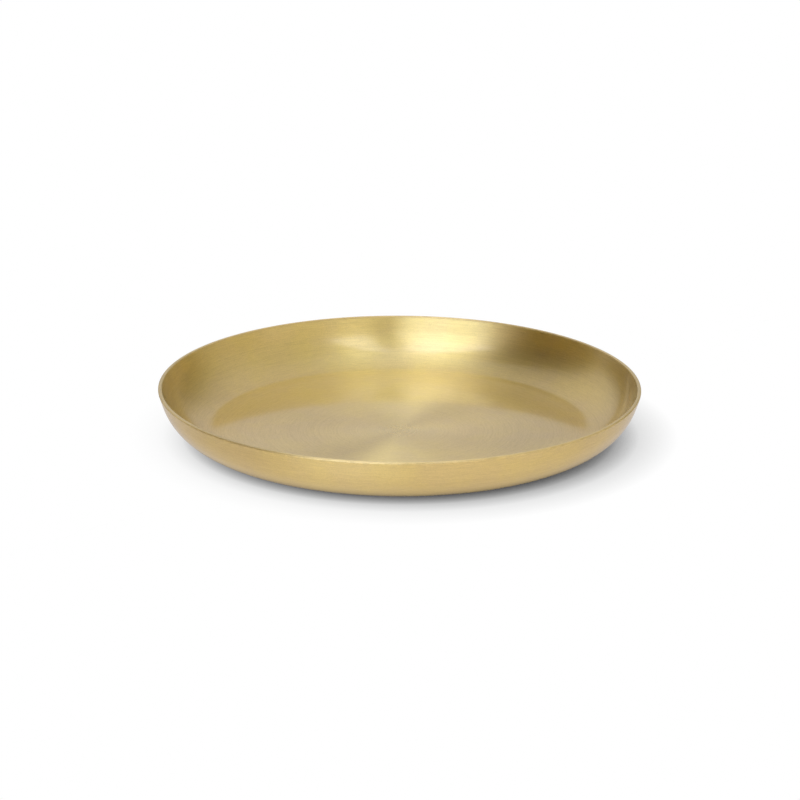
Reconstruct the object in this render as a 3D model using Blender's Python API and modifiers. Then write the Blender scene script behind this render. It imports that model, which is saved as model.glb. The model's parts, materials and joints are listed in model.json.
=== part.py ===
"""Round brass tray: a shallow dish spun from one round blank of sheet brass.

The sheet keeps one gauge all the way. From the axis outwards it lies flat, turns up through a wide
bend, rises as a wall that leans out, and ends in a lip that is cut level, with its outer edge
rounded over and its inner edge broken. Nothing is joined to it and nothing on it moves.

Lengths are in metres and +Z is up. The origin is the centre of the base, on the table.
"""

from math import cos, pi, radians, sin

import bpy

# Sizes of the tray
RIM_DIAMETER = 0.250  # over the outermost line of the lip
TRAY_HEIGHT = 0.026  # from the table to the top of the lip
SHEET_GAUGE = 0.002
BEND_RADIUS = 0.0295  # outside of the bend from the base to the wall
STRAIGHT_RISE = 0.003  # the bend leaves at least this much height for the lip and a straight wall
LIP_OUTER_RADIUS = 0.0007  # rounding of the lip's outer edge
LIP_INNER_RADIUS = 0.0002  # breaking of the lip's inner edge
WALL_LEAN = radians(18.4)  # how far the wall leans out from upright

# Facets
TURN_STEPS = 128  # round the axis
BEND_STEPS = 10
LIP_OUTER_STEPS = 5
LIP_INNER_STEPS = 2
MERGE_DISTANCE = 0.00001  # closes the turned skin where it starts, ends and meets the axis

# Directions in the profile, as angles from the way out of the axis
OUT_OF_WALL = -WALL_LEAN
INTO_WALL = pi - WALL_LEAN
UP = pi / 2
DOWN = -pi / 2

# Finish
BRASS_COLOUR = (0.68, 0.50, 0.22, 1.0)
BRASS_ROUGHNESS = 0.32


def main():
    clear_scene()
    tray = new_collection("round_brass_tray")
    brass = metal("brushed_brass", BRASS_COLOUR, BRASS_ROUGHNESS)
    turned_piece("tray_dish", dish_profile(), brass, tray)


def clear_scene():
    for thing in list(bpy.data.objects):
        bpy.data.objects.remove(thing, do_unlink=True)


def new_collection(name):
    collection = bpy.data.collections.new(name)
    bpy.context.scene.collection.children.link(collection)
    return collection


def metal(name, colour, roughness):
    material = bpy.data.materials.new(name)
    material.use_nodes = True
    shader = material.node_tree.nodes["Principled BSDF"]
    shader.inputs["Base Color"].default_value = colour
    shader.inputs["Metallic"].default_value = 1.0
    shader.inputs["Roughness"].default_value = roughness
    material.diffuse_color = colour
    material.metallic = 1.0
    material.roughness = roughness
    return material


def dish_profile():
    """The sheet's outline, as distances from the axis and heights.

    It leaves the axis along the inside, goes over the lip and comes back under the base.
    """
    bend = bend_radius()
    outer, inner = lip_radii()
    lip = (RIM_DIAMETER / 2 - outer, TRAY_HEIGHT - outer)
    outer_face = out_along_wall(lip) + outer
    inner_face = outer_face - SHEET_GAUGE
    bend_centre = (from_axis(outer_face - bend, bend), bend)
    inner_lip_height = TRAY_HEIGHT - inner
    inner_lip = (from_axis(inner_face + inner, inner_lip_height), inner_lip_height)
    return [
        (0, SHEET_GAUGE),
        *arc(bend_centre, bend - SHEET_GAUGE, DOWN, OUT_OF_WALL, BEND_STEPS),
        *arc(inner_lip, inner, INTO_WALL, UP, LIP_INNER_STEPS),
        *arc(lip, outer, UP, OUT_OF_WALL, LIP_OUTER_STEPS),
        *arc(bend_centre, bend, OUT_OF_WALL, DOWN, BEND_STEPS),
        (0, 0),
    ]


def bend_radius():
    """The outside of the bend, no wider than the tray's height has room for."""
    room = (TRAY_HEIGHT - STRAIGHT_RISE) / (1 - sin(WALL_LEAN))
    return min(BEND_RADIUS, room)


def lip_radii():
    """The roundings of the lip's outer and inner edge, which leave a level land on the sheet."""
    return min(LIP_OUTER_RADIUS, SHEET_GAUGE / 2), min(LIP_INNER_RADIUS, SHEET_GAUGE / 4)


def out_along_wall(point):
    """How far a point of the profile lies out along the normal of the wall's outer face."""
    distance, height = point
    return distance * cos(WALL_LEAN) - height * sin(WALL_LEAN)


def from_axis(out, height):
    """The distance from the axis of a point at this height that lies this far out along the wall's normal."""
    return (out + height * sin(WALL_LEAN)) / cos(WALL_LEAN)


def arc(centre, radius, start, end, steps):
    """Points on a round stretch of the profile, both ends included."""
    angles = [start + (end - start) * step / steps for step in range(steps + 1)]
    return [(centre[0] + radius * cos(angle), centre[1] + radius * sin(angle)) for angle in angles]


def turned_piece(name, profile, material, collection):
    """A solid turned about the Z axis from a profile that starts and ends on that axis."""
    points = [(distance, 0, height) for distance, height in profile]
    edges = [(index, index + 1) for index in range(len(points) - 1)]
    mesh = bpy.data.meshes.new(name)
    mesh.from_pydata(points, edges, [])
    mesh.materials.append(material)
    piece = bpy.data.objects.new(name, mesh)
    collection.objects.link(piece)
    turn = piece.modifiers.new("turn", "SCREW")
    turn.axis = "Z"
    turn.angle = 2 * pi
    turn.steps = TURN_STEPS
    turn.render_steps = TURN_STEPS
    turn.use_merge_vertices = True
    turn.merge_threshold = MERGE_DISTANCE
    turn.use_smooth_shade = True
    return piece


main()
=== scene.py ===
"""Round brass tray, dressed for a plain white studio.

The dish is drawn as the outline of one spun sheet and turned about its axis. Its brass is satin under a
clear lacquer, with fine brushed circles, a soft patina and a worn lip. Lengths are in metres.
"""

import json
from math import cos, hypot, pi, radians, sin, tan

import bpy
import numpy as np
from bpy.props import FloatProperty, FloatVectorProperty, PointerProperty
from mathutils import Matrix, Vector


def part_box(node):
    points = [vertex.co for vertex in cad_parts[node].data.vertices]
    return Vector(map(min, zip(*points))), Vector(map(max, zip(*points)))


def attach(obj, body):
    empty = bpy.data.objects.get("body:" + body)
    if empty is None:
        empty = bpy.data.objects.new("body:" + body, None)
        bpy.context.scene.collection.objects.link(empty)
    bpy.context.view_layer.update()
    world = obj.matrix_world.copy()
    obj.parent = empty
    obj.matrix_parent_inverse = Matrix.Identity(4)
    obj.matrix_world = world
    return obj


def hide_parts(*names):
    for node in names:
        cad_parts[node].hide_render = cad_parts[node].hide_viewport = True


bl_info = {
    "name": "Round Brass Tray",
    "version": (1, 0, 0),
    "blender": (4, 5, 0),
    "location": "3D View > Sidebar > Brass Tray",
    "description": "Spins a round brass tray, brushes it and sets it in a white studio",
    "category": "Add Mesh",
}

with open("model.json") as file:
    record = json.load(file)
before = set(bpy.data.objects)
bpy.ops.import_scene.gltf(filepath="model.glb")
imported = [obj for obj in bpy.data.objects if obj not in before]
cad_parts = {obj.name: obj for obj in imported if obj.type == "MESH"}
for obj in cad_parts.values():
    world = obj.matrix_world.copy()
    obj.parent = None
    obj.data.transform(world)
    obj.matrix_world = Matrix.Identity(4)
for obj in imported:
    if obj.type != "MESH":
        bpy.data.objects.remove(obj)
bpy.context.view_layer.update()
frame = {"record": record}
DISH_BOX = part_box("tray_dish")
SERVING_FLOOR = next(mount for mount in frame["record"]["mounts"] if mount["name"] == "serving_floor")

# Facets of the dish
TURN_STEPS = 384
FLAT_STEPS = 8
BEND_STEPS = 26
WALL_STEPS = 4
LIP_OUTER_STEPS = 8
LIP_INNER_STEPS = 4
MERGE_DISTANCE = 0.000002

# Straight up and straight down, as angles from level
UP = pi / 2
DOWN = -pi / 2

# Kinds of socket on a node group
NUMBER = "NodeSocketFloat"
VECTOR = "NodeSocketVector"

# Nearly all of a noise texture lies between these two values
NOISE_LOW = 0.3
NOISE_HIGH = 0.7

# Noise below the first value is clear brass, and above the second it is the middle of a cloud of tarnish
CLOUD_LOW = 0.35
CLOUD_HIGH = 0.65

# Brushed strokes: how many to the metre across them, how many to the turn, and a shuffle
FINE_STROKES = (2200.0, 170.0, 0.0)
LONG_STROKES = (1100.0, 60.0, 7.0)
RING_STROKES = (1200.0, 0.8, 13.0)
WEAR_STROKES = (900.0, 260.0, 21.0)
# The strokes that make up the grain, each with its share of it
GRAIN = ((FINE_STROKES, 0.40), (LONG_STROKES, 0.25), (RING_STROKES, 0.35))
ACROSS_STROKES = 0.25  # a quarter turn, which stretches a highlight across the strokes

# Wear at the lip
LIP_TURN = 0.0002  # reach of the change from the lip to the outer wall, to each side of the outermost line
RAGGED_EDGE = 0.8  # how ragged the strokes make the worn band's edge, as a share of the band
WORN_EDGE = 0.1  # share of the band at each end over which the wear stays as it is
FLECK_REACH = 3.0  # how far down the flecks reach, in worn bands
FLECK_LOW = 0.42  # strokes below this value are dark flecks
FLECK_HIGH = 0.62  # strokes above this value are bright flecks

# The camera
FRAME_PIXELS = 800
SENSOR_WIDTH = 36  # in millimetres, as Blender counts it
FARTHEST_SEEN = 100

WHITE = (1.0, 1.0, 1.0, 1.0)
LEFT = -pi / 2  # azimuth of the studio's left side
FLOOR_GAP = 0.0001
SHADE_SAMPLES = 12
# The painted shade under the tray, which the floor's glow carries in place of a cast shadow, in layers from
# the line of contact outwards. Each has its reach in metres, its depth, its depth as the brass mirrors it,
# and how far the light that fills it leans to the left in degrees.
SHADES = (
    (0.005, 0.35, 0.60, 20),
    (0.012, 0.32, 0.30, 40),
    (0.028, 0.28, 0.00, 40),
)
MIRRORED_TABLE = (0.88, 0.80, 0.75)  # painted colour of the table as the brass mirrors it, darker and warmer than the white the camera sees

# The tent that the brass mirrors. Its panels are given as middle, half width, low, high and softness in
# degrees, and their colour, where 1 is white. Azimuth 0 is the camera's side and grows towards +X. Each panel
# is sewn over the ones before it.
TENT_SEGMENTS = 64
TENT_RINGS = 32
TENT_COLOUR = (0.65, 0.625, 0.62)
TENT_PANELS = (
    (0, 200, 66, 120, 30, (0.84, 0.89, 0.91)),  # roof
    (180, 62, -40, 12, 14, (0.17, 0.155, 0.14)),  # foot of the backdrop
    (130, 30, -40, 30, 30, (0.22, 0.19, 0.11)),  # right of the backdrop
    (80, 36, -40, 72, 30, (0.58, 0.55, 0.45)),  # right side
    (-88, 29, -40, 76, 20, (0.05, 0.025, 0.01)),  # black cloth on the left
    (-34, 28, 48, 80, 14, (2.40, 2.50, 3.10)),  # top of the key softbox
    (-22, 28, 28, 50, 14, (2.00, 2.02, 2.10)),  # key softbox
    (-24, 22, 8, 30, 14, (0.90, 1.15, 1.45)),  # lower half of the key softbox
    (-20, 24, -40, 12, 12, (1.80, 2.00, 3.00)),  # foot of the key softbox
    (8, 7, 8, 74, 10, (0.13, 0.11, 0.08)),  # gap beside the key
    (40, 30, -40, 12, 12, (1.40, 1.38, 1.85)),  # foot of the small softbox
    (38, 26, 10, 32, 12, (0.60, 0.58, 0.38)),  # under the small softbox
    (30, 12, 41, 80, 10, (2.05, 2.15, 2.60)),  # small softbox
)


class DishSettings(bpy.types.PropertyGroup):
    rim_diameter: FloatProperty(
        name="Rim diameter", description="Over the outermost line of the lip",
        default=DISH_BOX[1].x - DISH_BOX[0].x, unit="LENGTH")
    height: FloatProperty(
        name="Height", description="From the table to the top of the lip",
        default=DISH_BOX[1].z - DISH_BOX[0].z, unit="LENGTH")
    gauge: FloatProperty(
        name="Gauge", description="Thickness of the sheet",
        default=SERVING_FLOOR["pos_m"][2], unit="LENGTH")
    bend_radius: FloatProperty(
        name="Bend radius", description="Outside of the bend from the base to the wall",
        default=0.0295, unit="LENGTH")
    wall_lean: FloatProperty(
        name="Wall lean", description="How far the wall leans out from upright",
        default=radians(18.4), unit="ROTATION")
    lip_outer_radius: FloatProperty(
        name="Lip outer radius", description="Rounding of the lip's outer edge",
        default=0.0007, unit="LENGTH")
    lip_inner_radius: FloatProperty(
        name="Lip inner radius", description="Breaking of the lip's inner edge",
        default=0.0002, unit="LENGTH")


class BrassSettings(bpy.types.PropertyGroup):
    colour: FloatVectorProperty(
        name="Brass", description="Colour of the bare brass under its lacquer",
        default=(0.89, 0.70, 0.255), subtype="COLOR", size=3, min=0, max=1)
    roughness: FloatProperty(
        name="Roughness", description="Roughness of the satin brushing",
        default=0.42, subtype="FACTOR", min=0, max=1)
    roughness_spread: FloatProperty(
        name="Roughness spread", description="How much smoother or rougher the single strokes are",
        default=0.07, subtype="FACTOR", min=0, max=1)
    anisotropy: FloatProperty(
        name="Anisotropy", description="How much the brushed circles stretch a highlight",
        default=0.89, subtype="FACTOR", min=0, max=1)
    grain_depth: FloatProperty(
        name="Grain depth", description="How much the brushed strokes change the brass's colour",
        default=0.10, subtype="FACTOR", min=0, max=1)
    grain_height: FloatProperty(
        name="Grain height", description="Height of the brushed strokes", default=0.000006, unit="LENGTH")
    frost_scale: FloatProperty(
        name="Frost scale", description="Grains of the satin frost to the metre", default=2400.0)
    frost_depth: FloatProperty(
        name="Frost depth", description="How much the satin frost changes the brass's colour",
        default=0.06, subtype="FACTOR", min=0, max=1)
    centre_reach: FloatProperty(
        name="Centre reach", description="How far from the axis the floor's centre is smoother",
        default=0.045, unit="LENGTH")
    centre_polish: FloatProperty(
        name="Centre polish", description="How much less rough the floor's centre is",
        default=0.15, subtype="FACTOR", min=0, max=1)
    lacquer_roughness: FloatProperty(
        name="Lacquer roughness", description="Roughness of the clear lacquer over the brass",
        default=0.10, subtype="FACTOR", min=0, max=1)
    lacquer_ior: FloatProperty(
        name="Lacquer IOR", description="How strongly the clear lacquer bends light", default=1.55, min=1)
    tarnish: FloatVectorProperty(
        name="Tarnish", description="Colour of the brass where it has dulled in soft clouds",
        default=(0.86, 0.67, 0.27), subtype="COLOR", size=3, min=0, max=1)
    clouds_per_metre: FloatProperty(
        name="Clouds per metre", description="How close together the clouds of tarnish lie", default=45.0)
    chip_colour: FloatVectorProperty(
        name="Chips", description="Colour of the few small chips in the lacquer",
        default=(0.95, 0.90, 0.75), subtype="COLOR", size=3, min=0, max=1)
    chips_per_metre: FloatProperty(
        name="Chips per metre", description="How close together the chips lie", default=38.0)
    chip_size: FloatProperty(
        name="Chip size", description="Reach of the largest chip, as a share of the way to the next",
        default=0.012, subtype="FACTOR", min=0, max=1)
    worn_band: FloatProperty(
        name="Worn band", description="How far down from the lip the lacquer has worn thin",
        default=0.0011, unit="LENGTH")
    worn_colour: FloatVectorProperty(
        name="Worn lip", description="Colour of the lip, which hands have worn a little duller",
        default=(0.88, 0.69, 0.30), subtype="COLOR", size=3, min=0, max=1)
    worn_roughness: FloatProperty(
        name="Worn roughness", description="How much rougher the worn lip is",
        default=0.18, subtype="FACTOR", min=0, max=1)
    worn_metal: FloatProperty(
        name="Worn metal", description="How much of the worn lip still shines as metal",
        default=0.8, subtype="FACTOR", min=0, max=1)
    worn_lacquer: FloatProperty(
        name="Worn lacquer", description="How much lacquer is left on the worn lip",
        default=0.85, subtype="FACTOR", min=0, max=1)
    fleck_depth: FloatProperty(
        name="Fleck depth", description="How much paler or darker the flecks under the lip are",
        default=0.065, subtype="FACTOR", min=0, max=1)


class StudioSettings(bpy.types.PropertyGroup):
    camera_elevation: FloatProperty(
        name="Camera elevation", description="How far the camera looks down on the rim",
        default=radians(17.786), unit="ROTATION")
    camera_distance: FloatProperty(
        name="Camera distance", description="From the middle of the rim to the camera",
        default=3.0, unit="LENGTH")
    camera_roll: FloatProperty(
        name="Camera roll", description="Turn of the camera about its own axis",
        default=radians(0.254), unit="ROTATION")
    rim_pixels: FloatProperty(
        name="Rim pixels", description="Half the rim's width in the picture, in pixels", default=241.46)
    rim_shift: FloatVectorProperty(
        name="Rim shift", description="Middle of the rim, in pixels right of and below the picture's middle",
        default=(-0.41, -13.78), size=2)
    floor_size: FloatProperty(
        name="Floor size", description="Width of the white floor", default=30.0, unit="LENGTH")
    pool_reach: FloatProperty(
        name="Pool reach", description="How far in front of the axis the mirrored table is lit in full",
        default=0.24, unit="LENGTH")
    pool_edge: FloatProperty(
        name="Pool edge", description="Share of that light on the mirrored table beside the tray",
        default=0.72, subtype="FACTOR", min=0, max=1)
    tent_radius: FloatProperty(
        name="Tent radius", description="Size of the light tent that the brass mirrors",
        default=2.2, unit="LENGTH")


class BrassTraySettings(bpy.types.PropertyGroup):
    dish: PointerProperty(type=DishSettings)
    brass: PointerProperty(type=BrassSettings)
    studio: PointerProperty(type=StudioSettings)


# Outline of the dish

def dish_outline(dish):
    """The sheet's outline as distances from the axis and heights: inside, over the lip and under the base."""
    rim, lean, bend, gauge = dish.rim_diameter / 2, dish.wall_lean, dish.bend_radius, dish.gauge
    outer, inner = dish.lip_outer_radius, dish.lip_inner_radius
    lip = (rim - outer, dish.height - outer)
    outer_face = lip[0] * cos(lean) - lip[1] * sin(lean) + outer
    inner_face = outer_face - gauge
    inner_lip_height = dish.height - inner
    inner_lip = (from_axis(inner_face + inner, inner_lip_height, lean), inner_lip_height)
    bend_centre = (from_axis(outer_face - bend, bend, lean), bend)
    inner_bend = arc(bend_centre, bend - gauge, DOWN, -lean, BEND_STEPS)
    inner_edge = arc(inner_lip, inner, pi - lean, UP, LIP_INNER_STEPS)
    outer_edge = arc(lip, outer, UP, -lean, LIP_OUTER_STEPS)
    outer_bend = arc(bend_centre, bend, -lean, DOWN, BEND_STEPS)
    return [
        *straight((0, gauge), inner_bend[0], FLAT_STEPS),
        *inner_bend,
        *straight(inner_bend[-1], inner_edge[0], WALL_STEPS)[1:],
        *inner_edge,
        *outer_edge,
        *straight(outer_edge[-1], outer_bend[0], WALL_STEPS)[1:],
        *outer_bend,
        *straight(outer_bend[-1], (0, 0), FLAT_STEPS)[1:],
        (0, 0),
    ]


def from_axis(out, height, lean):
    """The distance from the axis of a point at this height that lies this far out along the wall's normal."""
    return (out + height * sin(lean)) / cos(lean)


def arc(centre, radius, start, end, steps):
    """Points on a round stretch of the outline, both ends included."""
    angles = [start + (end - start) * step / steps for step in range(steps + 1)]
    return [(centre[0] + radius * cos(angle), centre[1] + radius * sin(angle)) for angle in angles]


def straight(start, end, steps):
    """Points from start towards end, closest together near the two ends, without the end itself."""
    shares = [(1 - cos(pi * step / steps)) / 2 for step in range(steps)]
    across, up = end[0] - start[0], end[1] - start[1]
    return [(start[0] + across * share, start[1] + up * share) for share in shares]


# Modelling by hand

def deselect_all():
    if bpy.context.object and bpy.context.object.mode != "OBJECT":
        bpy.ops.object.mode_set(mode="OBJECT")
    bpy.ops.object.select_all(action="DESELECT")


def draw_outline(points):
    """Starts a mesh at one point and extrudes that point along the outline."""
    deselect_all()
    bpy.ops.mesh.primitive_plane_add(size=MERGE_DISTANCE, location=(0, 0, 0))
    bpy.ops.object.mode_set(mode="EDIT")
    bpy.ops.mesh.select_all(action="SELECT")
    bpy.ops.mesh.merge(type="CENTER")
    bpy.ops.transform.translate(value=(points[0][0], 0, points[0][1]))
    for here, there in zip(points, points[1:]):
        step = (there[0] - here[0], 0, there[1] - here[1])
        bpy.ops.mesh.extrude_vertices_move(TRANSFORM_OT_translate={"value": step})
    return bpy.context.object


def spin_round_axis():
    """Turns the outline into a closed skin, with its seam and its two poles merged."""
    bpy.ops.mesh.select_all(action="SELECT")
    bpy.ops.mesh.spin(steps=TURN_STEPS, angle=2 * pi, center=(0, 0, 0), axis=(0, 0, 1))
    bpy.ops.mesh.select_all(action="SELECT")
    bpy.ops.mesh.remove_doubles(threshold=MERGE_DISTANCE)
    bpy.ops.mesh.normals_make_consistent(inside=False)
    bpy.ops.object.mode_set(mode="OBJECT")


def shares_along(outline):
    """How far along the sheet each point of the outline lies, from 0 at its start to 1 at its end."""
    lengths = np.cumsum([0, *(hypot(b[0] - a[0], b[1] - a[1]) for a, b in zip(outline, outline[1:]))])
    return lengths / lengths[-1]


def polar_map(piece, outline):
    """A UV map that runs round the axis and along the outline, so that brushed circles lie straight on it."""
    shares = shares_along(outline)
    profile = np.array(outline)
    mesh = piece.data
    places = np.zeros(len(mesh.vertices) * 3)
    mesh.vertices.foreach_get("co", places)
    places = places.reshape(-1, 3)
    turned = np.stack([np.hypot(places[:, 0], places[:, 1]), places[:, 2]], 1)
    nearest = [int(np.argmin(((profile - point) ** 2).sum(1))) for point in turned]
    along = shares[nearest]
    uv_layer = mesh.uv_layers.new(name="OFBake")
    for face in mesh.polygons:
        middle = (np.arctan2(face.center.y, face.center.x) / (2 * pi)) % 1
        for loop in face.loop_indices:
            vertex = mesh.loops[loop].vertex_index
            x, y = places[vertex, :2]
            turn = np.arctan2(y, x) / (2 * pi) if turned[vertex, 0] > MERGE_DISTANCE else middle
            turn += round(middle - turn)
            uv_layer.data[loop].uv = (turn, along[vertex])


# Nodes

def node(tree, kind, **values):
    """Adds a node, with values for its own settings."""
    made = tree.nodes.new(kind)
    for name, value in values.items():
        setattr(made, name, value)
    return made


def feed(tree, target, value):
    """Links a socket to the target, or sets the target's own value. None leaves it as it is."""
    if isinstance(value, bpy.types.NodeSocket):
        tree.links.new(value, target)
    elif value is not None:
        target.default_value = value


def maths(tree, operation, first, second=None, third=None):
    """A Math node fed by sockets or plain numbers. Returns its output."""
    made = node(tree, "ShaderNodeMath", operation=operation)
    for place, value in enumerate((first, second, third)):
        feed(tree, made.inputs[place], value)
    return made.outputs[0]


def vector_maths(tree, operation, first, second=None, scale=None):
    """A Vector Math node. Returns its output, which is a number for a length and a vector otherwise."""
    made = node(tree, "ShaderNodeVectorMath", operation=operation)
    feed(tree, made.inputs[0], first)
    feed(tree, made.inputs[1], second)
    if scale is not None:
        feed(tree, made.inputs["Scale"], scale)
    return made.outputs["Value" if operation == "LENGTH" else "Vector"]


def split_vector(tree, vector):
    """The X, Y and Z of a vector, as the outputs of a node."""
    made = node(tree, "ShaderNodeSeparateXYZ")
    feed(tree, made.inputs[0], vector)
    return made.outputs


def join_vector(tree, x=None, y=None, z=None):
    """A vector from its sides. A side that isn't given is zero."""
    made = node(tree, "ShaderNodeCombineXYZ")
    for place, value in enumerate((x, y, z)):
        feed(tree, made.inputs[place], value)
    return made.outputs[0]


def map_range(tree, value, from_min, from_max, to_min=0.0, to_max=1.0, smooth=False):
    """A Map Range node fed by sockets or plain numbers. Returns its output."""
    made = node(tree, "ShaderNodeMapRange")
    if smooth:
        made.interpolation_type = "SMOOTHSTEP"
    for name, number in (("Value", value), ("From Min", from_min), ("From Max", from_max),
                         ("To Min", to_min), ("To Max", to_max)):
        feed(tree, made.inputs[name], number)
    return made.outputs["Result"]


def mix_colour(tree, share, first, second):
    """A Mix node for colours, each a socket or red, green, blue and alpha. Returns its output."""
    made = node(tree, "ShaderNodeMix", data_type="RGBA")
    for name, value in (("Factor_Float", share), ("A_Color", first), ("B_Color", second)):
        feed(tree, next(here for here in made.inputs if here.identifier == name), value)
    return next(here for here in made.outputs if here.identifier == "Result_Color")


def noise(tree, place, scale, detail, roughness=0.5, shuffle=None):
    """A Noise texture, which a shuffle slides along a fourth coordinate. Returns its value."""
    made = node(tree, "ShaderNodeTexNoise")
    for name, value in (("Vector", place), ("Scale", scale), ("Detail", detail), ("Roughness", roughness)):
        feed(tree, made.inputs[name], value)
    if shuffle is not None:
        made.noise_dimensions = "4D"
        feed(tree, made.inputs["W"], shuffle)
    return made.outputs[0]


def new_group(title, inputs, outputs):
    """A node group with named sockets. Returns it, what comes into it and what goes out of it."""
    group = bpy.data.node_groups.new(title, "ShaderNodeTree")
    for in_out, sockets in (("INPUT", inputs), ("OUTPUT", outputs)):
        for name, kind in sockets.items():
            group.interface.new_socket(name=name, socket_type=kind, in_out=in_out)
    inside = node(group, "NodeGroupInput").outputs
    outside = node(group, "NodeGroupOutput").inputs
    return group, inside, outside


def place_group(tree, group, **values):
    """Places a node group, with its inputs by name, where _ stands for a space. Returns its outputs."""
    made = node(tree, "ShaderNodeGroup", node_tree=group)
    for name, value in values.items():
        feed(tree, made.inputs[name.replace("_", " ")], value)
    return made.outputs


# Brass

def spun_place_group():
    """Where a point lies on a spun sheet: how far from the axis, along it and up, and which way round."""
    group, inside, outside = new_group(
        "spun_place",
        {"Place": VECTOR},
        {"Radius": NUMBER, "Along": NUMBER, "Height": NUMBER, "Round": VECTOR})
    sides = split_vector(group, inside["Place"])
    flat = join_vector(group, sides["X"], sides["Y"])
    radius = vector_maths(group, "LENGTH", flat)
    feed(group, outside["Radius"], radius)
    feed(group, outside["Along"], maths(group, "ADD", radius, sides["Z"]))
    feed(group, outside["Height"], sides["Z"])
    feed(group, outside["Round"], vector_maths(group, "NORMALIZE", flat))
    return group


def brushed_group():
    """Brushed strokes that run round the axis, as a value about one half."""
    group, inside, outside = new_group(
        "brushed_circles",
        {"Along": NUMBER, "Round": VECTOR, "Strokes per metre": NUMBER, "Strokes per turn": NUMBER,
         "Shuffle": NUMBER},
        {"Strokes": NUMBER})
    round_reach = maths(group, "DIVIDE", inside["Strokes per turn"], 2 * pi)
    ring = vector_maths(group, "SCALE", inside["Round"], scale=round_reach)
    across = join_vector(group, z=maths(group, "MULTIPLY", inside["Along"], inside["Strokes per metre"]))
    place = vector_maths(group, "ADD", ring, across)
    strokes = noise(group, place, scale=1.0, detail=1.5, roughness=0.6, shuffle=inside["Shuffle"])
    feed(group, outside["Strokes"], strokes)
    return group


def patina_group():
    """Soft clouds of tarnish, and a few small chips in the lacquer, each as a mask from 0 to 1."""
    group, inside, outside = new_group(
        "patina",
        {"Place": VECTOR, "Clouds per metre": NUMBER, "Chips per metre": NUMBER, "Chip size": NUMBER},
        {"Clouds": NUMBER, "Chips": NUMBER})
    clouds = noise(group, inside["Place"], scale=inside["Clouds per metre"], detail=3.0, roughness=0.55)
    feed(group, outside["Clouds"], map_range(group, clouds, CLOUD_LOW, CLOUD_HIGH, smooth=True))
    cells = node(group, "ShaderNodeTexVoronoi")
    feed(group, cells.inputs["Vector"], inside["Place"])
    feed(group, cells.inputs["Scale"], inside["Chips per metre"])
    size = maths(group, "MULTIPLY", inside["Chip size"], cells.outputs["Color"])
    feed(group, outside["Chips"], maths(group, "LESS_THAN", cells.outputs["Distance"], size))
    return group


def lip_wear_group():
    """Wear at the lip, and flecks under it.

    Worn is 1 on the lip and 0 below the worn band. Flecks is -1 on the dark flecks and 1 on the bright ones,
    fades to 0 down the wall, and is 0 inside the dish.
    """
    group, inside, outside = new_group(
        "lip_wear",
        {"Height": NUMBER, "Radius": NUMBER, "Strokes": NUMBER, "Lip height": NUMBER, "Lip radius": NUMBER,
         "Wall slope": NUMBER, "Band": NUMBER},
        {"Worn": NUMBER, "Flecks": NUMBER})
    below = maths(group, "SUBTRACT", inside["Lip height"], inside["Height"])
    bands_below = maths(group, "DIVIDE", below, inside["Band"])
    near = maths(group, "SUBTRACT", 1.0, bands_below)
    ragged = maths(group, "MULTIPLY_ADD", inside["Strokes"], RAGGED_EDGE, -RAGGED_EDGE / 2)
    worn = map_range(group, maths(group, "ADD", near, ragged), WORN_EDGE, 1.0 - WORN_EDGE, smooth=True)
    feed(group, outside["Worn"], worn)
    wall_at_lip = maths(group, "MULTIPLY_ADD", below, inside["Wall slope"], inside["Radius"])
    past_lip = maths(group, "SUBTRACT", wall_at_lip, inside["Lip radius"])
    outer = map_range(group, past_lip, -LIP_TURN, LIP_TURN, smooth=True)
    fading = map_range(group, bands_below, 0.0, FLECK_REACH, 1.0, 0.0, smooth=True)
    sharp = map_range(group, inside["Strokes"], FLECK_LOW, FLECK_HIGH, -1.0, 1.0)
    feed(group, outside["Flecks"], maths(group, "MULTIPLY", maths(group, "MULTIPLY", fading, outer), sharp))
    return group


def brass_colour(tree, brass, grain, frost, patina, wear):
    """The brass with its tarnish, chips and worn lip, paler and darker by its grain, frost and flecks."""
    gold = mix_colour(tree, patina["Clouds"], (*brass.colour, 1.0), (*brass.tarnish, 1.0))
    gold = mix_colour(tree, patina["Chips"], gold, (*brass.chip_colour, 1.0))
    gold = mix_colour(tree, wear["Worn"], gold, (*brass.worn_colour, 1.0))
    tone = maths(tree, "MULTIPLY_ADD", wear["Flecks"], brass.fleck_depth, 1.0)
    for pattern, depth in ((grain, brass.grain_depth), (frost, brass.frost_depth)):
        shades = map_range(tree, pattern, NOISE_LOW, NOISE_HIGH, 1.0 - depth, 1.0 + depth)
        tone = maths(tree, "MULTIPLY", tone, shades)
    return vector_maths(tree, "SCALE", gold, scale=tone)


def brass_roughness(tree, brass, grain, radius, worn):
    """Rougher and smoother strokes, rougher at the worn lip and smoother at the floor's centre."""
    rough = map_range(tree, grain, NOISE_LOW, NOISE_HIGH, brass.roughness + brass.roughness_spread,
                      brass.roughness - brass.roughness_spread)
    rough = maths(tree, "MULTIPLY_ADD", worn, brass.worn_roughness, rough)
    centre = map_range(tree, radius, 0.0, brass.centre_reach, -brass.centre_polish, 0.0, smooth=True)
    return maths(tree, "ADD", rough, centre)


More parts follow.
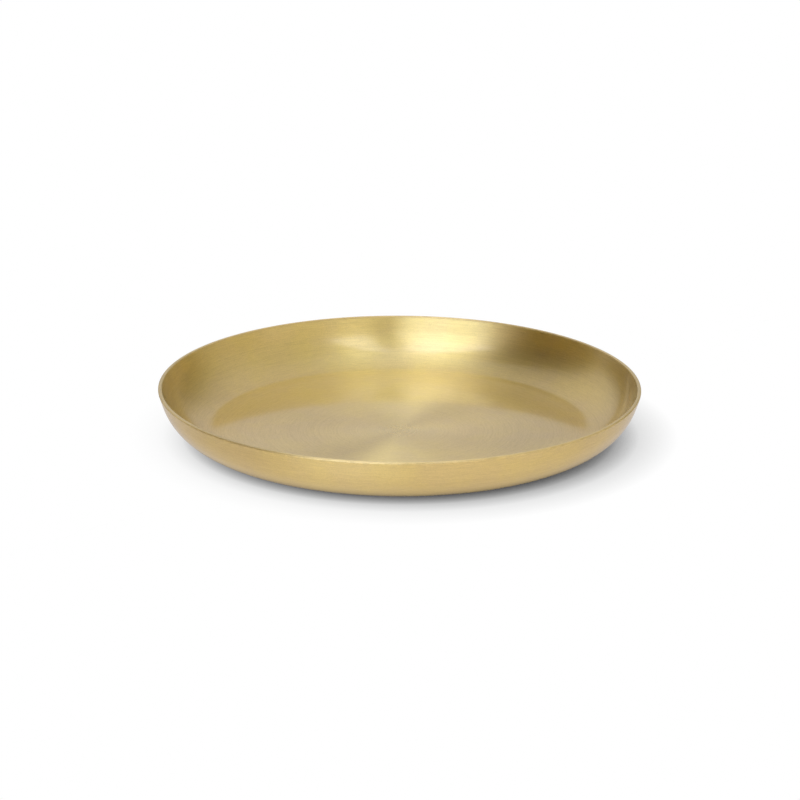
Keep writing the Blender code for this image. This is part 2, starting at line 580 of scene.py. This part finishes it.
def brushed_brass(brass, dish):
    """Satin brass, brushed in circles, lacquered, and worn at the lip."""
    material = bpy.data.materials.new("satin_brass")
    material.use_nodes = True
    tree = material.node_tree
    shader = tree.nodes["Principled BSDF"].inputs
    shader["Anisotropic"].default_value = brass.anisotropy
    shader["Anisotropic Rotation"].default_value = ACROSS_STROKES
    shader["Coat Roughness"].default_value = brass.lacquer_roughness
    shader["Coat IOR"].default_value = brass.lacquer_ior
    where = node(tree, "ShaderNodeTexCoord").outputs["Object"]
    spun = place_group(tree, spun_place_group(), Place=where)
    brushed = brushed_group()

    def strokes(per_metre, per_turn, shuffle):
        return place_group(tree, brushed, Along=spun["Along"], Round=spun["Round"],
                           Strokes_per_metre=per_metre, Strokes_per_turn=per_turn,
                           Shuffle=shuffle)["Strokes"]

    grain = 0.0
    for kind, share in GRAIN:
        grain = maths(tree, "MULTIPLY_ADD", strokes(*kind), share, grain)
    frost = noise(tree, where, scale=brass.frost_scale, detail=1.0)
    patina = place_group(tree, patina_group(), Place=where, Clouds_per_metre=brass.clouds_per_metre,
                         Chips_per_metre=brass.chips_per_metre, Chip_size=brass.chip_size)
    wear = place_group(tree, lip_wear_group(), Height=spun["Height"], Radius=spun["Radius"],
                       Strokes=strokes(*WEAR_STROKES), Lip_height=dish.height,
                       Lip_radius=dish.rim_diameter / 2, Wall_slope=tan(dish.wall_lean), Band=brass.worn_band)

    feed(tree, shader["Base Color"], brass_colour(tree, brass, grain, frost, patina, wear))
    feed(tree, shader["Roughness"], brass_roughness(tree, brass, grain, spun["Radius"], wear["Worn"]))
    feed(tree, shader["Metallic"], map_range(tree, wear["Worn"], 0.0, 1.0, 1.0, brass.worn_metal))
    feed(tree, shader["Coat Weight"], map_range(tree, wear["Worn"], 0.0, 1.0, 1.0, brass.worn_lacquer))
    bump = node(tree, "ShaderNodeBump")
    bump.inputs["Distance"].default_value = brass.grain_height
    feed(tree, bump.inputs["Height"], maths(tree, "ADD", grain, frost))
    feed(tree, shader["Normal"], bump.outputs[0])
    return material


class BRASSTRAY_OT_spin_dish(bpy.types.Operator):
    """Draw the sheet's outline, turn it into the dish and finish it in brushed brass"""

    bl_idname = "brass_tray.spin_dish"
    bl_label = "Spin the dish"

    def execute(self, context):
        settings = context.scene.brass_tray
        outline = dish_outline(settings.dish)
        piece = draw_outline(outline)
        piece.name = piece.data.name = "spun_dish"
        spin_round_axis()
        bpy.ops.object.shade_smooth()
        polar_map(piece, outline)
        piece.data.materials.append(brushed_brass(settings.brass, settings.dish))
        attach(piece, "root")
        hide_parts("tray_dish")
        return {"FINISHED"}


# Studio

def direction(azimuth, elevation):
    """From the tray towards the studio. Azimuth 0 is the camera's side, and it grows towards +X."""
    return Vector((sin(azimuth) * cos(elevation), -cos(azimuth) * cos(elevation), sin(elevation)))


def place_camera(studio, dish):
    """The camera that took the photograph, worked out from where the rim lies in it."""
    rim = Vector((0, 0, dish.height))
    back = direction(0, studio.camera_elevation)
    up = Vector((0, sin(studio.camera_elevation), cos(studio.camera_elevation)))
    right = Vector((1, 0, 0))
    pixel = dish.rim_diameter / 2 / studio.rim_pixels
    aim = rim - right * studio.rim_shift[0] * pixel + up * studio.rim_shift[1] * pixel
    place = rim + back * studio.camera_distance
    data = bpy.data.cameras.new("photograph_camera")
    data.sensor_width = SENSOR_WIDTH
    data.lens = studio.camera_distance / pixel * SENSOR_WIDTH / FRAME_PIXELS
    data.clip_end = FARTHEST_SEEN
    camera = bpy.data.objects.new("photograph_camera", data)
    bpy.context.scene.collection.objects.link(camera)
    roll = Matrix.Rotation(studio.camera_roll, 3, "Z").to_quaternion()
    camera.location = place
    camera.rotation_mode = "QUATERNION"
    camera.rotation_quaternion = (aim - place).to_track_quat("-Z", "Y") @ roll
    bpy.context.scene.camera = camera


def glowing_material(name):
    """A material that glows but isn't sampled as a lamp. Returns it and the inputs of its glow."""
    material = bpy.data.materials.new(name)
    material.use_nodes = True
    material.cycles.emission_sampling = "NONE"
    tree = material.node_tree
    tree.nodes.clear()
    glow = node(tree, "ShaderNodeEmission")
    ends = node(tree, "ShaderNodeOutputMaterial")
    feed(tree, ends.inputs["Surface"], glow.outputs[0])
    return material, glow.inputs


def shade_under(tree, reach, lean):
    """The mask of the floor's painted shadow: one in the open, falling towards zero where the tray hides the
    light that leans in from the left.
    """
    hidden = node(tree, "ShaderNodeAmbientOcclusion", samples=SHADE_SAMPLES)
    hidden.inputs["Distance"].default_value = reach
    feed(tree, hidden.inputs["Normal"], join_vector(tree, *direction(LEFT, UP - lean)))
    return hidden.outputs["AO"]


def lay_floor(studio):
    """A white table that glows as white paper would. A painted shadow dims its glow where the tray hides the
    light, and where the brass mirrors it, it shows a painted tint and a painted pool of light.
    """
    deselect_all()
    bpy.ops.mesh.primitive_plane_add(size=studio.floor_size, location=(0, 0, -FLOOR_GAP))
    floor = bpy.context.object
    floor.name = "white_floor"
    material, glow = glowing_material("white_floor")
    tree = material.node_tree
    seen = node(tree, "ShaderNodeLightPath").outputs["Is Camera Ray"]
    shade = 1.0
    for reach, depth, mirrored_depth, lean in SHADES:
        shown = map_range(tree, seen, 0.0, 1.0, mirrored_depth, depth)
        layer = maths(tree, "POWER", shade_under(tree, reach, radians(lean)), shown)
        shade = maths(tree, "MULTIPLY", shade, layer)
    feed(tree, glow["Strength"], shade)
    # Painted pool of light on the table as only the brass mirrors it: full in front of the tray, falling to
    # the pool edge's share level with the axis and behind it. The camera sees plain white.
    sides = split_vector(tree, node(tree, "ShaderNodeTexCoord").outputs["Object"])
    pool = map_range(tree, sides["Y"], -studio.pool_reach, 0.0, 1.0, studio.pool_edge, smooth=True)
    mirrored = vector_maths(tree, "SCALE", MIRRORED_TABLE, scale=pool)
    feed(tree, glow["Color"], mix_colour(tree, seen, mirrored, WHITE))
    floor.data.materials.append(material)


def white_world():
    """White all round, as the camera sees it past the floor."""
    world = bpy.data.worlds.new("white_studio")
    bpy.context.scene.world = world
    world.use_nodes = True
    background = world.node_tree.nodes["Background"].inputs
    background["Color"].default_value = WHITE
    background["Strength"].default_value = 1.0


def soft_panel_group():
    """One where the tent's direction lies on a panel, falling softly to zero past its edges."""
    names = ("Azimuth", "Height angle", "Middle", "Half width", "Low", "High", "Softness")
    group, inside, outside = new_group("soft_panel", dict.fromkeys(names, NUMBER), {"Panel": NUMBER})
    off = maths(group, "WRAP", maths(group, "SUBTRACT", inside["Azimuth"], inside["Middle"]), pi, -pi)
    off = maths(group, "ABSOLUTE", off)
    edges = (maths(group, "SUBTRACT", inside["Half width"], off),
             maths(group, "SUBTRACT", inside["Height angle"], inside["Low"]),
             maths(group, "SUBTRACT", inside["High"], inside["Height angle"]))
    half_soft = maths(group, "DIVIDE", inside["Softness"], 2.0)
    panel = 1.0
    for edge in edges:
        mask = map_range(group, edge, maths(group, "MULTIPLY", half_soft, -1.0), half_soft, smooth=True)
        panel = maths(group, "MULTIPLY", panel, mask)
    feed(group, outside["Panel"], panel)
    return group


def raise_tent(radius):
    """A pale tent round the table, seen only in the brass, with brighter and darker panels sewn in."""
    deselect_all()
    bpy.ops.mesh.primitive_uv_sphere_add(
        segments=TENT_SEGMENTS, ring_count=TENT_RINGS, radius=radius, location=(0, 0, 0))
    tent = bpy.context.object
    tent.name = "light_tent"
    material, glow = glowing_material("light_tent")
    tree = material.node_tree
    where = node(tree, "ShaderNodeTexCoord").outputs["Object"]
    sides = split_vector(tree, vector_maths(tree, "NORMALIZE", where))
    azimuth = maths(tree, "ARCTAN2", sides["X"], maths(tree, "MULTIPLY", sides["Y"], -1.0))
    height = maths(tree, "ARCSINE", sides["Z"])
    panel_group = soft_panel_group()
    cloth = (*TENT_COLOUR, 1.0)
    for middle, half_width, low, high, softness, colour in TENT_PANELS:
        panel = place_group(tree, panel_group, Azimuth=azimuth, Height_angle=height, Middle=radians(middle),
                            Half_width=radians(half_width), Low=radians(low), High=radians(high),
                            Softness=radians(softness))["Panel"]
        cloth = mix_colour(tree, panel, cloth, (*colour, 1.0))
    feed(tree, glow["Color"], cloth)
    tent.data.materials.append(material)
    tent.visible_camera = tent.visible_diffuse = tent.visible_shadow = False


class BRASSTRAY_OT_set_studio(bpy.types.Operator):
    """Lay the white floor, raise the light tent round it and place the camera"""

    bl_idname = "brass_tray.set_studio"
    bl_label = "Set the studio"

    def execute(self, context):
        settings = context.scene.brass_tray
        studio = settings.studio
        place_camera(studio, settings.dish)
        lay_floor(studio)
        white_world()
        raise_tent(studio.tent_radius)
        return {"FINISHED"}


class BRASSTRAY_PT_panel(bpy.types.Panel):
    """The tray's settings and steps"""

    bl_idname = "BRASSTRAY_PT_panel"
    bl_label = "Round Brass Tray"
    bl_space_type = "VIEW_3D"
    bl_region_type = "UI"
    bl_category = "Brass Tray"

    def draw(self, context):
        settings = context.scene.brass_tray
        for group, operator in ((settings.dish, BRASSTRAY_OT_spin_dish), (settings.brass, None),
                                (settings.studio, BRASSTRAY_OT_set_studio)):
            box = self.layout.box()
            for name in group.bl_rna.properties.keys():
                if name not in {"rna_type", "name"}:
                    box.prop(group, name)
            if operator:
                box.operator(operator.bl_idname)


CLASSES = (DishSettings, BrassSettings, StudioSettings, BrassTraySettings,
           BRASSTRAY_OT_spin_dish, BRASSTRAY_OT_set_studio, BRASSTRAY_PT_panel)


def register():
    for cls in CLASSES:
        bpy.utils.register_class(cls)
    bpy.types.Scene.brass_tray = PointerProperty(type=BrassTraySettings)


def unregister():
    del bpy.types.Scene.brass_tray
    for cls in reversed(CLASSES):
        bpy.utils.unregister_class(cls)


def main():
    register()
    bpy.context.scene.view_settings.view_transform = "Standard"
    bpy.ops.brass_tray.spin_dish()
    bpy.ops.brass_tray.set_studio()


if __name__ == "__main__":
    main()
